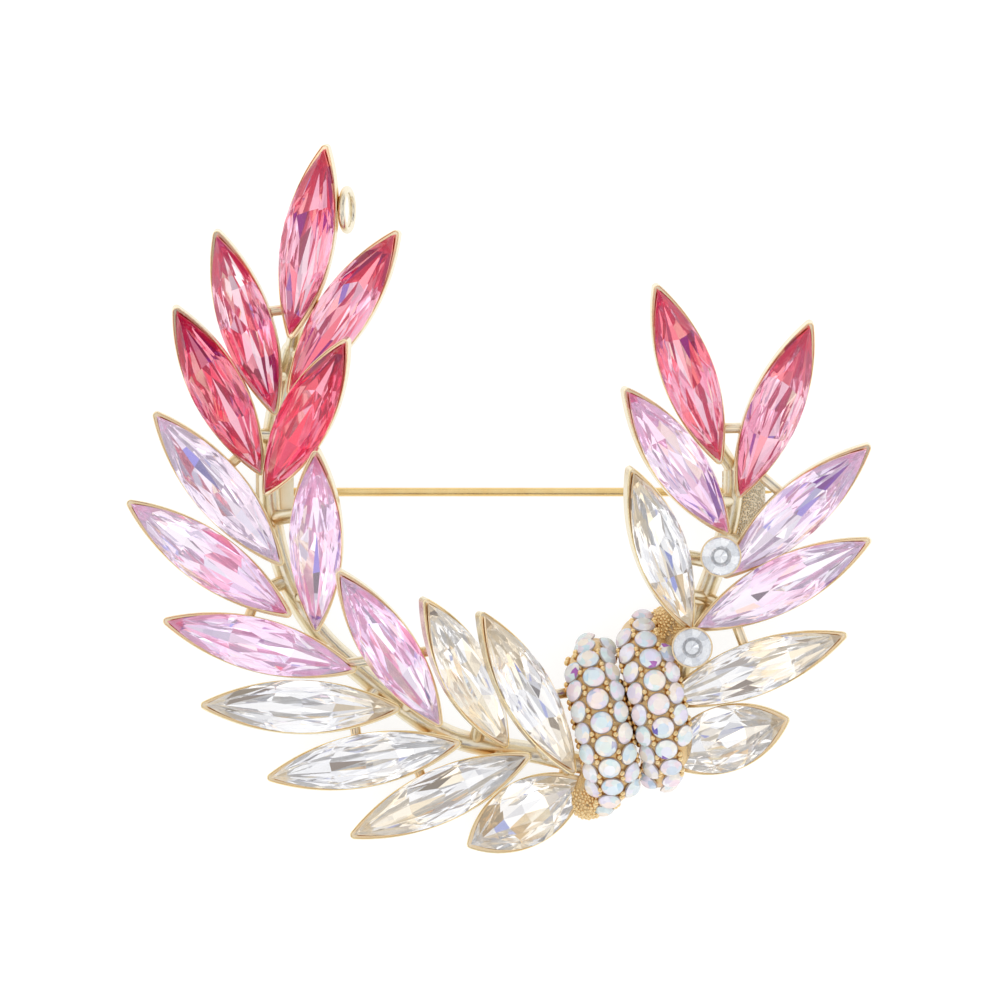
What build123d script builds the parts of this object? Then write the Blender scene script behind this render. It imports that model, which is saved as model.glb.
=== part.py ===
from build123d import *
from collections import namedtuple
import math
import os

# A brooch of two sprays of long marquise stones, bound by a stone-set knot.
# It lies on its back as it would on a table: X runs to the wearer's left in the front
# view, Y runs up the brooch, Z points to the viewer and the table is at Z = 0.
# All sizes are millimetres.

# Long leaf stones
leaf_length = 15.0
leaf_width = 4.0
# The two short broad stones beside the knot
drop_length = 10.0
drop_width = 5.0
# The two small round stones of the right spray
round_diameter = 3.0
# Heights that the leaf, drop and round stones share
girdle_thickness = 0.25
crown_height = 0.95
pavilion_depth = 1.5
# Metal of the stone cups
setting_gap = 0.04
rim_thickness = 0.09
rim_drop = 0.25
tip_wall = 0.3
floor_thickness = 0.35
culet_clearance = 0.15
cup_lip = 0.9
cup_side_taper = 1.2
cup_tip_taper = 2.5
cup_tip_radius = 0.35
pocket_tip_taper = 2.6
# Rods under the cups
stem_radius = 0.85
post_radius = 0.6
strut_radius = 0.42
dome_share = 0.98
# The knot and its small stones
knot_arc_radius = 5.45
knot_height = 0.6
band_radius = 2.15
knot_core_radius = 1.5
knot_stone_diameter = 1.62
knot_stone_crown = 0.32
knot_stone_girdle = 0.1
knot_stone_pavilion = 0.6
knot_gap = 0.12
# The pin, its hinge and its catch
pin_diameter = 0.7
pin_point_length = 3.0
knuckle_radius = 0.95
knuckle_width = 1.2
rivet_diameter = 0.8
rivet_head_diameter = 1.5
rivet_head_thickness = 0.3
rivet_clearance = 0.05
rivet_fit = 0.02
knuckle_side_gap = 0.1
hinge_gap = 0.15
ear_thickness = 0.6
ear_width = 2.4
plate_thickness = 0.7
hinge_plate_width = 3.0
hinge_plate_height = 4.4
catch_plate_width = 3.4
catch_plate_height = 5.9
catch_wall_thickness = 0.55
catch_wall_length = 2.2
catch_gap = 0.15
# The small wire ring behind the top leaf
ring_radius = 1.6
ring_wire_radius = 0.3

# The sprays are laid out in shares of one length, which grows with the leaves.
spray = max(leaf_length, 3.75 * leaf_width)
cup_depth = girdle_thickness / 2 + pavilion_depth + culet_clearance + floor_thickness
tip_outset = setting_gap * 2 + tip_wall
side_outset = setting_gap + rim_thickness

# A row for each leaf. x and y: the place of its inner end, and lift: how high the underside
# is there, all as shares of the spray length. heading: the way it points, rise: how far
# its tip is tilted up, lean: how far it is rolled to its right, in degrees. length and
# width: shares of the leaf stone's own, or of the drop stone's where drop is set.
Leaf = namedtuple("Leaf", "x y lift heading rise lean length width drop")
left_leaves = [
    Leaf(-1.090, 0.845, 0.350, 79.5, 11.0, -15, 1.00, 1.00, False),
    Leaf(-1.100, 0.555, 0.320, 56.0, 11.0, -12, 1.00, 1.00, False),
    Leaf(-1.160, 0.440, 0.290, 108.0, 15.0, -10, 1.00, 1.00, False),
    Leaf(-1.230, 0.125, 0.240, 117.5, 20.0, -8, 1.00, 1.00, False),
    Leaf(-1.225, 0.020, 0.310, 62.0, 29.0, -10, 1.00, 1.00, False),
    Leaf(-1.125, -0.345, 0.235, 130.0, 4.0, -5, 1.00, 1.00, False),
    Leaf(-1.080, -0.610, 0.215, 145.0, 1.0, 0, 1.00, 1.00, False),
    Leaf(-0.950, -0.700, 0.270, 90.0, 25.0, -10, 1.00, 1.00, False),
    Leaf(-0.735, -0.895, 0.200, 165.5, 2.0, 0, 1.00, 1.00, False),
    Leaf(-0.290, -1.195, 0.240, 123.5, 21.5, -5, 1.00, 1.00, False),
    Leaf(-0.505, -1.095, 0.185, 179.0, 0.0, 6, 1.00, 1.00, False),
    Leaf(-0.190, -1.275, 0.185, 190.5, -9.0, 3, 1.00, 1.00, False),
    Leaf(0.066, -1.305, 0.120, 119.0, 32.0, 20, 1.00, 1.00, False),
    Leaf(0.419, -1.438, 0.260, 120.2, 21.3, 22, 1.00, 1.00, False),
    Leaf(0.175, -1.340, 0.160, 204.5, -8.0, 4, 1.00, 1.00, False),
    Leaf(0.470, -1.470, 0.000, 209.5, 0.0, 0, 1.00, 1.00, True),
]
right_leaves = [
    Leaf(1.180, 0.185, 0.260, 110.0, 18.5, 6, 1.00, 1.00, False),
    Leaf(1.270, 0.005, 0.245, 67.5, 19.0, 12, 1.00, 1.00, False),
    Leaf(1.225, -0.185, 0.290, 125.5, 27.0, 11, 1.00, 1.00, False),
    Leaf(1.190, -0.410, 0.220, 42.0, 10.0, 10, 1.00, 1.00, False),
    Leaf(1.035, -0.680, 0.200, 27.0, 9.0, 1, 1.00, 1.00, False),
    Leaf(1.027, -0.687, 0.320, 110.5, 31.0, 18, 1.00, 1.00, False),
    Leaf(0.860, -1.070, 0.160, 20.5, 8.0, -2, 1.00, 1.00, False),
    Leaf(0.855, -1.365, 0.130, 17.5, 5.0, 0, 1.00, 1.00, True),
]
# The round stones: place of the centre and height of the underside, as shares again
Round = namedtuple("Round", "x y lift")
round_places = [Round(1.177, -0.296, 0.400), Round(1.027, -0.775, 0.350)]

# The two stems as x, y and height, in shares of the spray length
left_stem = [
    (0.570, -1.410, 0.120), (0.488, -1.394, 0.120), (0.173, -1.325, 0.113),
    (-0.220, -1.252, 0.130), (-0.509, -1.079, 0.140), (-0.745, -0.885, 0.147),
    (-0.940, -0.696, 0.160), (-1.097, -0.423, 0.180), (-1.192, -0.003, 0.210),
    (-1.165, 0.417, 0.247), (-1.076, 0.785, 0.300),
]
right_stem = [
    (0.829, -1.394, 0.090), (0.950, -1.052, 0.117), (1.013, -0.737, 0.153),
    (1.144, -0.370, 0.180), (1.234, -0.055, 0.207), (1.249, 0.155, 0.220),
]
# Thin struts between neighbours: leaf number and share along it, twice, and how deep in
# the cups they meet them
strut_depth = 0.55
left_struts = [
    (1, 0.24, 2, 0.42), (1, 0.15, 3, 0.53), (4, 0.14, 6, 0.55), (7, 0.20, 9, 0.60),
    (11, 0.24, 12, 0.53), (12, 0.26, 15, 0.57), (9, 0.10, 13, 0.65),
]
right_struts = [
    (1, 0.18, 2, 0.38), (2, 0.16, 4, 0.51), (5, 0.20, 7, 0.49),
]
# Where a post from the stem meets each cup, as shares of the cup's length and depth, and
# the longer props of two steep leaves
post_share = 0.20
post_depth = 0.70
left_props = [(8, 0.62)]
right_props = [(6, 0.45)]

# The knot: the middle of each band, and for angles along its arc how far each band strays
# sideways, in shares of its thickness, and its thickness there as a share of the whole
band_centres = [(0.551, -1.168), (0.845, -1.071)]
band_half_angle = 70
band_steps = 10
Station = namedtuple("Station", "angle sway girth")
band_stations = [
    [Station(-70, 0.03, 0.85), Station(-47, 0.22, 0.95), Station(-23, 0.13, 1.0), Station(0, 0.0, 1.0),
     Station(23, -0.12, 1.0), Station(47, -0.22, 0.88), Station(70, -0.11, 0.72)],
    [Station(-70, 0.03, 0.72), Station(-47, 0.20, 0.88), Station(-23, 0.13, 1.0), Station(0, 0.0, 1.0),
     Station(23, -0.12, 1.0), Station(47, -0.26, 0.95), Station(70, -0.28, 0.85)],
]
# The textured core that crosses behind the bands
knot_core = [(0.480, -1.580, 0.175), (0.700, -1.115, 0.270), (0.895, -0.655, 0.160)]
# Columns of small stones: band, angle round the band at its middle, how far that turns
# toward the upper and the lower end, first angle along it, count
Column = namedtuple("Column", "band side upper_turn lower_turn first count")
stone_pitch_angle = 14.0
turn_from = 35
stone_columns = [
    Column(0, -48, 0, 0, 35, 7), Column(0, 0, -30, 0, 70, 11), Column(0, 48, -8, 0, 63, 9),
    Column(1, -46, 0, 10, 49, 9), Column(1, 2, 0, 30, 70, 11), Column(1, 46, 0, 0, 35, 5),
]
# Leaves whose ends are tucked against the knot, where its metal is relieved
tucked_left = [14, 16]
tucked_right = [6, 7, 8]
knot_strut = (14, 0.46, (0.470, -1.000, 0.320))

# The pin line: its height up the brooch, and where hinge and catch sit along it
pin_line_y = 0.042 * spray
hinge_x = -1.167 * spray
catch_x = 1.300 * spray
pin_reach = 0.075 * spray
pin_z = knuckle_radius + hinge_gap
catch_plate_y = -0.045 * spray
# The ring stands at this share along the first leaf
ring_share = 0.655
ring_turn = 15


def lens(half_length, half_width, tip_radius, height):
    """A pointed oval of two long arcs whose ends are rounded, lying at a height."""
    reach = half_length - tip_radius
    rise = half_width - tip_radius
    centre_drop = (reach ** 2 - rise ** 2) / (2 * rise)
    side_radius = half_width + centre_drop
    pull = tip_radius / (side_radius - tip_radius)
    x, y = reach * (1 + pull), centre_drop * pull
    corners = [(-x, y), (0, half_width), (x, y), (half_length, 0),
               (x, -y), (0, -half_width), (-x, -y), (-half_length, 0)]
    points = [Vector(px, py, height) for px, py in corners]
    arcs = [ThreePointArc(points[i], points[i + 1], points[(i + 2) % 8]) for i in (0, 2, 4, 6)]
    return Wire(arcs)


def cup_body(length, width):
    """The outside of a leaf's cup, whose rim lies a little under the stone's edge."""
    half_length = length / 2 + tip_outset
    half_width = width / 2 + side_outset
    foot = lens(half_length - cup_tip_taper, half_width - cup_side_taper, cup_tip_radius, -cup_depth)
    lip = lens(half_length, half_width, cup_tip_radius, -cup_lip)
    rim = lens(half_length, half_width, cup_tip_radius, -rim_drop)
    return Solid.make_loft([foot, lip, rim], ruled=True)


def cup_pocket(length, width):
    """The hollow of a leaf's cup, which the stone's lower half hangs in."""
    half_length = length / 2 + tip_outset - tip_wall
    half_width = width / 2 + setting_gap
    depth = cup_depth - floor_thickness
    tip_radius = cup_tip_radius - rim_thickness
    seat = lens(half_length - pocket_tip_taper, half_width - cup_side_taper, tip_radius, -depth)
    throat = lens(half_length, half_width, tip_radius, -girdle_thickness / 2)
    mouth = lens(half_length, half_width, tip_radius, 0)
    return Solid.make_loft([seat, throat, mouth], ruled=True)


def leaf_envelope(length, width):
    """All the room that a cup and its stone need, with the knot's gap round it."""
    outline = lens(length / 2 + tip_outset + knot_gap, width / 2 + side_outset + knot_gap,
                   cup_tip_radius + knot_gap, -cup_depth - knot_gap)
    tall = cup_depth + girdle_thickness / 2 + crown_height + 2 * knot_gap
    return Solid.extrude(Face(outline), Vector(0, 0, tall))


def triangle(a, b, c):
    return Face(Wire.make_polygon([a, b, c], close=True))


def almond(half_length, half_width, height, count, turn=0.0):
    """Points round a sharp pointed oval, evenly spaced along each side."""
    half = count // 2
    points = []
    for i in range(count):
        step = (i + turn) % count
        side = 1 if step < half else -1
        share = math.cos(math.pi * (step % half) / half) * side
        points.append(Vector(half_length * share, side * half_width * (1 - share ** 2), height))
    return points


def leaf_stone(length, width):
    """A marquise with a table, three tiers of crown facets and a pointed back."""
    a, b = length / 2, width / 2
    edge = girdle_thickness / 2
    top = edge + crown_height
    table = almond(0.70 * a, 0.50 * b, top, 8)
    shoulder = almond(0.86 * a, 0.78 * b, edge + 0.62 * crown_height, 8, 0.5)
    upper = almond(a, b, edge, 16, 0.0)
    lower = almond(a, b, -edge, 16, 0.0)
    belly = almond(0.52 * a, 0.52 * b, -edge - 0.55 * pavilion_depth, 8, 0.5)
    culet = Vector(0, 0, -edge - pavilion_depth)
    return faceted_stone(table, shoulder, upper, lower, belly, culet)


def faceted_stone(table, shoulder, upper, lower, belly, culet):
    """Facets of a stone whose shoulder and belly points lie between those of the table."""
    n = len(table)
    faces = [Face(Wire.make_polygon(table, close=True))]
    for i in range(n):
        j = (i + 1) % n
        outer = [upper[(2 * i + k) % (2 * n)] for k in (0, 1, 2)]
        under = [lower[(2 * i + k) % (2 * n)] for k in (0, 1, 2)]
        faces += [
            triangle(table[i], table[j], shoulder[i]),
            triangle(shoulder[i], table[j], shoulder[j]),
            triangle(shoulder[i], outer[1], outer[0]),
            triangle(shoulder[i], outer[2], outer[1]),
            triangle(shoulder[i], shoulder[j], outer[2]),
            triangle(belly[i], under[0], under[1]),
            triangle(belly[i], under[1], under[2]),
            triangle(belly[i], under[2], belly[j]),
            triangle(belly[i], belly[j], culet),
        ]
        for a, b, c, d in ((outer[0], outer[1], under[1], under[0]),
                           (outer[1], outer[2], under[2], under[1])):
            faces += [triangle(a, b, c), triangle(a, c, d)]
    return Solid(Shell(faces))


def circle_points(radius, height, count, turn=0.0):
    """Points round a circle, turned by a share of one step."""
    steps = [2 * math.pi * (i + turn) / count for i in range(count)]
    return [Vector(radius * math.cos(s), radius * math.sin(s), height) for s in steps]


def round_stone(diameter, girdle, crown, pavilion, count):
    """A round brilliant: the table has count sides and the girdle twice as many."""
    radius, edge = diameter / 2, girdle / 2
    table = circle_points(0.56 * radius, edge + crown, count)
    shoulder = circle_points(0.80 * radius, edge + 0.60 * crown, count, 0.5)
    upper = circle_points(radius, edge, 2 * count)
    lower = circle_points(radius, -edge, 2 * count)
    belly = circle_points(0.55 * radius, -edge - 0.50 * pavilion, count, 0.5)
    return faceted_stone(table, shoulder, upper, lower, belly, Vector(0, 0, -edge - pavilion))


def small_stone():
    """A small round stone with an eight-sided table over eight plain sides."""
    radius, edge = knot_stone_diameter / 2, knot_stone_girdle / 2
    table = circle_points(0.55 * radius, edge + knot_stone_crown, 8)
    upper = circle_points(radius, edge, 8, 0.5)
    lower = circle_points(radius, -edge, 8, 0.5)
    culet = Vector(0, 0, -edge - knot_stone_pavilion)
    faces = [Face(Wire.make_polygon(table, close=True))]
    for i in range(8):
        j = (i + 1) % 8
        faces += [
            triangle(table[i], table[j], upper[i]),
            triangle(upper[i], table[j], upper[j]),
            Face(Wire.make_polygon([upper[i], upper[j], lower[j], lower[i]], close=True)),
            triangle(lower[i], lower[j], culet),
        ]
    return Solid(Shell(faces))


def stone_size(leaf):
    if leaf.drop:
        return drop_length * leaf.length, drop_width * leaf.width
    return leaf_length * leaf.length, leaf_width * leaf.width


def leaf_frame(leaf):
    """The girdle plane of a leaf: X along it, Z out of its table."""
    heading, rise, lean = (math.radians(v) for v in (leaf.heading, leaf.rise, leaf.lean))
    along = Vector(math.cos(rise) * math.cos(heading), math.cos(rise) * math.sin(heading), math.sin(rise))
    across = along.cross(Vector(0, 0, 1)).normalized()
    upright = across.cross(along)
    inner_end = Vector(leaf.x * spray, leaf.y * spray, leaf.lift * spray + cup_depth)
    middle = inner_end + along * (stone_size(leaf)[0] / 2 + tip_outset)
    normal = upright * math.cos(lean) + across * math.sin(lean)
    return Plane(origin=middle, x_dir=along, z_dir=normal)


def on_cup(leaf, share, depth_share):
    """A point on the middle line of a cup, a share of its length and depth along."""
    length = stone_size(leaf)[0] + 2 * tip_outset
    return leaf_frame(leaf).from_local_coords(Vector((share - 0.5) * length, 0, -depth_share * cup_depth))


def placed(shape, frame):
    return shape.moved(frame.location)


def rod(start, end, radius):
    line = end - start
    return Solid.make_cylinder(radius, line.length, Plane(origin=start, z_dir=line))


def tube(points, radii, aside):
    """A smooth round rod through a row of points, with a radius at each and a dome at each end."""
    circles = []
    for i, (point, radius) in enumerate(zip(points, radii)):
        before, after = points[max(i - 1, 0)], points[min(i + 1, len(points) - 1)]
        along = (after - before).normalized()
        square = (aside - along * aside.dot(along)).normalized()
        circles.append(Wire.make_circle(radius, Plane(origin=point, x_dir=square, z_dir=along)))
    domes = [Pos(*points[i]) * Sphere(dome_share * radii[i]).solid() for i in (0, -1)]
    return Solid.make_loft(circles).fuse(*domes)


def stem_rod(stem, radius):
    """The round rod of a stem or of the knot's core, which runs more or less level."""
    path = Edge.make_spline([in_spray(p) for p in stem])
    steps = 2 * len(stem)
    points = [path @ (i / steps) for i in range(steps + 1)]
    return tube(points, [radius] * len(points), Vector(0, 0, 1))


def in_spray(point):
    return Vector(*point) * spray


def nearest_on_path(path, target):
    """The point of a path that lies nearest to a target."""
    best = None
    for a, b in zip(path, path[1:]):
        line = b - a
        share = min(1.0, max(0.0, (target - a).dot(line) / line.dot(line)))
        point = a + line * share
        if best is None or (target - point).length < (target - best).length:
            best = point
    return best


def post(leaf, share, stem, radius):
    """A rod from the nearest point of a stem into the cup of a leaf."""
    seat = on_cup(leaf, share, post_depth)
    return rod(nearest_on_path([in_spray(p) for p in stem], seat), seat, radius)


def spray_metal(leaves, stem, struts, props, extra, rounds):
    """One spray's soldered metal: cups, stem, posts and struts, with the pockets cut."""
    path = [in_spray(p) for p in stem]
    solids = [stem_rod(stem, stem_radius)]
    for leaf in leaves:
        solids.append(placed(cup_body(*stone_size(leaf)), leaf_frame(leaf)))
        solids.append(post(leaf, post_share, stem, post_radius))
    for number, share in props:
        solids.append(post(leaves[number - 1], share, stem, post_radius))
    for first, first_share, second, second_share in struts:
        start = on_cup(leaves[first - 1], first_share, strut_depth)
        end = on_cup(leaves[second - 1], second_share, strut_depth)
        solids.append(rod(start, end, strut_radius))
    for place in rounds:
        solids.append(round_cup(place))
        seat = Vector(place.x * spray, place.y * spray, place.lift * spray + floor_thickness / 2)
        solids.append(rod(nearest_on_path(path, seat), seat, post_radius))
    solids += extra
    metal = solids[0].fuse(*solids[1:])
    pockets = [placed(cup_pocket(*stone_size(leaf)), leaf_frame(leaf)) for leaf in leaves]
    pockets += [round_pocket(place) for place in rounds]
    return metal.cut(*pockets)


def round_frame(place):
    return Plane(origin=(place.x * spray, place.y * spray, place.lift * spray + cup_depth))


def round_cup(place):
    radius = round_diameter / 2 + side_outset
    foot = radius * (1 - 2 * cup_side_taper / leaf_width)
    cone = Pos(0, 0, -cup_depth) * Solid.make_cone(foot, radius, cup_depth - cup_lip)
    lip = Pos(0, 0, -cup_lip) * Solid.make_cylinder(radius, cup_lip - rim_drop)
    return placed(cone.fuse(lip), round_frame(place))


def round_pocket(place):
    radius = round_diameter / 2 + setting_gap
    seat = radius * (1 - 2 * cup_side_taper / leaf_width)
    depth = cup_depth - floor_thickness
    edge = girdle_thickness / 2
    cone = Pos(0, 0, -depth) * Solid.make_cone(seat, radius, depth - edge)
    throat = Pos(0, 0, -edge) * Solid.make_cylinder(radius, crown_height + 2 * edge)
    return placed(cone.fuse(throat), round_frame(place))


def box_between(low, high):
    size = [b - a for a, b in zip(low, high)]
    middle = [(a + b) / 2 for a, b in zip(low, high)]
    return (Pos(*middle) * Box(*size)).solid()


def y_cylinder(radius, length):
    """A cylinder along Y, centred on the hinge axis."""
    base = Plane(origin=(hinge_x, pin_line_y - length / 2, pin_z), z_dir=(0, 1, 0))
    return Solid.make_cylinder(radius, length, base)


plate_under = pin_z + knuckle_radius + hinge_gap
ear_inner = knuckle_width / 2 + knuckle_side_gap
ear_outer = ear_inner + ear_thickness


def hinge_mount():
    """A plate under the left stem with two ears that carry the rivet."""
    plate = box_between(
        (hinge_x - hinge_plate_width / 2, pin_line_y - hinge_plate_height / 2, plate_under),
        (hinge_x + hinge_plate_width / 2, pin_line_y + hinge_plate_height / 2, plate_under + plate_thickness))
    ears = []
    for side in (-1, 1):
        near, far = sorted((side * ear_inner, side * ear_outer))
        ears.append(box_between((hinge_x - ear_width / 2, pin_line_y + near, 0),
                                (hinge_x + ear_width / 2, pin_line_y + far, plate_under + plate_thickness / 2)))
    return [plate] + ears


def catch():
    """A plate under the right stem with two walls that the pin drops between."""
    plate = box_between(
        (catch_x - catch_plate_width / 2, catch_plate_y - catch_plate_height / 2, plate_under),
        (catch_x + catch_plate_width / 2, catch_plate_y + catch_plate_height / 2, plate_under + plate_thickness))
    walls = []
    inner = pin_diameter / 2 + catch_gap
    for side in (-1, 1):
        near, far = sorted((side * inner, side * (inner + catch_wall_thickness)))
        walls.append(box_between((catch_x - catch_wall_length / 2, pin_line_y + near, 0),
                                 (catch_x + catch_wall_length / 2, pin_line_y + far, plate_under + plate_thickness / 2)))
    return [plate] + walls


def ring_plane():
    leaf = left_leaves[0]
    middle = on_cup(leaf, ring_share, 0.7)
    aside = Vector(stone_size(leaf)[1] / 2 + ring_wire_radius, 0, 0)
    turn = math.radians(ring_turn)
    return Plane(origin=middle + aside, z_dir=(math.cos(turn), 0, math.sin(turn)))


def top_ring():
    """The wire ring that stands behind the right edge of the top leaf."""
    return placed(Solid.make_torus(ring_radius, ring_wire_radius), ring_plane())


def pin_stem():
    """The pointed pin with its drilled knuckle."""
    start = Vector(hinge_x, pin_line_y, pin_z)
    tip_x = catch_x + catch_wall_length / 2 + pin_reach
    shank_length = tip_x - pin_point_length - hinge_x
    along = Plane(origin=start, z_dir=(1, 0, 0))
    shank = Solid.make_cylinder(pin_diameter / 2, shank_length, along)
    point_base = Plane(origin=start + Vector(shank_length, 0, 0), z_dir=(1, 0, 0))
    point = Solid.make_cone(pin_diameter / 2, pin_diameter / 8, pin_point_length, point_base)
    knuckle = y_cylinder(knuckle_radius, knuckle_width)
    bore = y_cylinder(rivet_diameter / 2 + rivet_clearance, 2 * knuckle_width)
    return shank.fuse(point, knuckle).cut(bore)


def hinge_rivet():
    """The rivet through both ears, with a head at each end."""
    shank = y_cylinder(rivet_diameter / 2, 2 * (ear_outer + rivet_fit + rivet_head_thickness))
    heads = []
    for side in (-1, 1):
        near = ear_outer + rivet_fit
        y = pin_line_y + (near if side > 0 else -near - rivet_head_thickness)
        base = Plane(origin=(hinge_x, y, pin_z), z_dir=(0, 1, 0))
        heads.append(Solid.make_cylinder(rivet_head_diameter / 2, rivet_head_thickness, base))
    return shank.fuse(*heads)


def band_station(band, angle):
    """The sway and girth of a band at an angle along its arc."""
    stations = band_stations[band]
    after = next((s for s in stations[1:] if angle <= s.angle), stations[-1])
    before = stations[stations.index(after) - 1]
    share = (angle - before.angle) / (after.angle - before.angle)
    return Station(angle, before.sway + (after.sway - before.sway) * share,
                   before.girth + (after.girth - before.girth) * share)


def band_point(band, angle):
    """A point on the middle line of a band, at an angle along its arc."""
    x, y = band_centres[band]
    turn = math.radians(angle)
    return Vector(x * spray + band_station(band, angle).sway * 2 * band_radius,
                  y * spray + knot_arc_radius * math.sin(turn),
                  knot_height + knot_arc_radius * math.cos(turn))


def knot_stone_frame(band, side, angle):
    """Where a small stone sits: its girdle on the band's surface, its table facing out."""
    turn, lean = math.radians(angle), math.radians(side)
    along = Vector(0, math.cos(turn), -math.sin(turn))
    out = Vector(0, math.sin(turn), math.cos(turn))
    normal = out * math.cos(lean) + Vector(1, 0, 0) * math.sin(lean)
    seat_radius = band_radius * band_station(band, angle).girth + knot_stone_girdle
    return Plane(origin=band_point(band, angle) + normal * seat_radius, x_dir=along, z_dir=normal)


def column_side(column, angle):
    """The angle round the band at which a column runs, at an angle along its arc."""
    share = max(0, abs(angle) - turn_from) / (band_half_angle - turn_from)
    return column.side + share * (column.upper_turn if angle > 0 else column.lower_turn)


def knot_stone_frames():
    frames = []
    for column in stone_columns:
        for i in range(column.count):
            angle = column.first - stone_pitch_angle * i
            frames.append(knot_stone_frame(column.band, column_side(column, angle), angle))
    return frames


def stone_drill():
    """The hollow under a small stone: a cone for its back and a straight throat above."""
    edge = knot_stone_girdle / 2
    radius = knot_stone_diameter / 2 + 1.5 * setting_gap
    depth = knot_stone_pavilion + setting_gap
    cone = Pos(0, 0, -edge - depth) * Solid.make_cone(setting_gap, radius, depth)
    throat = Pos(0, 0, -edge) * Solid.make_cylinder(radius, knot_stone_crown + 2 * edge)
    return cone.fuse(throat)


def knot_metal(frames):
    """The knot: two round bands over a core, drilled for its stones and for the stems."""
    solids = []
    step = 2 * band_half_angle / band_steps
    for band in range(len(band_centres)):
        angles = [-band_half_angle + step * i for i in range(band_steps + 1)]
        radii = [band_radius * band_station(band, angle).girth for angle in angles]
        solids.append(tube([band_point(band, angle) for angle in angles], radii, Vector(1, 0, 0)))
    solids.append(stem_rod(knot_core, knot_core_radius))
    metal = solids[0].fuse(*solids[1:])
    cuts = [placed(stone_drill(), frame) for frame in frames]
    for stem in (left_stem, right_stem):
        cuts.append(stem_rod(stem, stem_radius + knot_gap))
    for leaves, stem, numbers in ((left_leaves, left_stem, tucked_left),
                                  (right_leaves, right_stem, tucked_right)):
        for number in numbers:
            leaf = leaves[number - 1]
            cuts.append(placed(leaf_envelope(*stone_size(leaf)), leaf_frame(leaf)))
            cuts.append(post(leaf, post_share, stem, post_radius + knot_gap))
    number, share, end = knot_strut
    start = on_cup(left_leaves[number - 1], share, strut_depth)
    cuts.append(rod(start, in_spray(end) + (in_spray(end) - start).normalized() * knot_gap,
                    strut_radius + knot_gap))
    return metal.cut(*cuts)


def write(name, shape):
    shape.label = name
    export_step(shape, os.path.join("parts", name + ".step"))
    print(name, "volume", round(shape.volume, 2))


def show(name, point):
    print(name, [round(v, 3) for v in point])


def main():
    os.makedirs("parts", exist_ok=True)
    number, share, end = knot_strut
    to_knot = rod(on_cup(left_leaves[number - 1], share, strut_depth), in_spray(end), strut_radius)
    left = spray_metal(left_leaves, left_stem, left_struts, left_props,
                       hinge_mount() + [top_ring(), to_knot], [])
    left = left.cut(y_cylinder(rivet_diameter / 2 + rivet_fit, 2 * ear_outer + rivet_head_diameter))
    frames = knot_stone_frames()
    prototype = small_stone()
    shapes = {
        "left_wing_setting": left,
        "right_wing_setting": spray_metal(right_leaves, right_stem, right_struts, right_props, catch(),
                                          round_places),
        "knot": knot_metal(frames),
        "knot_stones": Compound([placed(prototype, frame) for frame in frames]),
    }
    for side, leaves in (("left", left_leaves), ("right", right_leaves)):
        for i, leaf in enumerate(leaves, 1):
            shapes[f"{side}_stone_{i:02d}"] = placed(leaf_stone(*stone_size(leaf)), leaf_frame(leaf))
    brilliant = round_stone(round_diameter, girdle_thickness, 0.6 * crown_height, 0.75 * pavilion_depth, 8)
    for i, place in enumerate(round_places, 1):
        shapes[f"round_stone_{i}"] = placed(brilliant, round_frame(place))
    shapes["pin_stem"] = pin_stem()
    shapes["hinge_rivet"] = hinge_rivet()
    # The whole brooch is centred over X = Y = 0 and stood on Z = 0
    room = Compound(list(shapes.values())).bounding_box()
    shift = Vector(-room.center().X, -room.center().Y, -room.min.Z)
    for name, shape in shapes.items():
        write(name, shape.moved(Location(shift)))
    show("size", room.size)
    show("shift", shift)
    show("pin hinge axis", Vector(hinge_x, pin_line_y, pin_z) + shift)
    show("catch slot", Vector(catch_x, pin_line_y, pin_z) + shift)
    show("ring middle", ring_plane().origin + shift)


main()
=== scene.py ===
# %% [markdown]
# # A wreath brooch
# Two sprays of long pointed crystals in thin pale gold cups are bound by a stone-set knot.
# The imported model gives the size and place of every piece. This script keeps what is already
# right, builds finer pieces over the rest, and gives each surface its finish.

# %% [markdown]
# ## Loading the frame
# Every length below is written in millimetres and turned into Blender's metres by one factor.

# %% Load the imported model
import math
import random

import bmesh
import bpy
import numpy as np
from mathutils import Matrix, Vector
from mathutils.bvhtree import BVHTree


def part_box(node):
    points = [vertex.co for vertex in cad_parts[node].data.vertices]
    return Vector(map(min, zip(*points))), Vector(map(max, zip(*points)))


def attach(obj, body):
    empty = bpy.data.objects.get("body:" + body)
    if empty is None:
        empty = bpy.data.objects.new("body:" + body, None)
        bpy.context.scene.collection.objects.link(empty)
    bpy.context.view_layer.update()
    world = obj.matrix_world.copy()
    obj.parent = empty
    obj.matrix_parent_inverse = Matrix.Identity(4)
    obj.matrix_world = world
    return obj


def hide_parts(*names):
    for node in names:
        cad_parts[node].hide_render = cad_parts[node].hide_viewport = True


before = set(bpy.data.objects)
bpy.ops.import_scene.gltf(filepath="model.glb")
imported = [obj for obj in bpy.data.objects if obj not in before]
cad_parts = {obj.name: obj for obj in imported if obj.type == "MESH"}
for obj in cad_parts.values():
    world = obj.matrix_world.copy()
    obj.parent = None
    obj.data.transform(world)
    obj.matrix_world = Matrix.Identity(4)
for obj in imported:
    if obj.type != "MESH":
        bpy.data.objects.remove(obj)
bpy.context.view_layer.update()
MM = 0.001

# %% [markdown]
# ## The camera
# The brooch was photographed from straight above through a long lens, so nothing leans away
# from the middle. A lens that is very long and far off gives that view. The photograph shows
# 12.7 pixels to the millimetre and is 1000 pixels wide.

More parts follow.
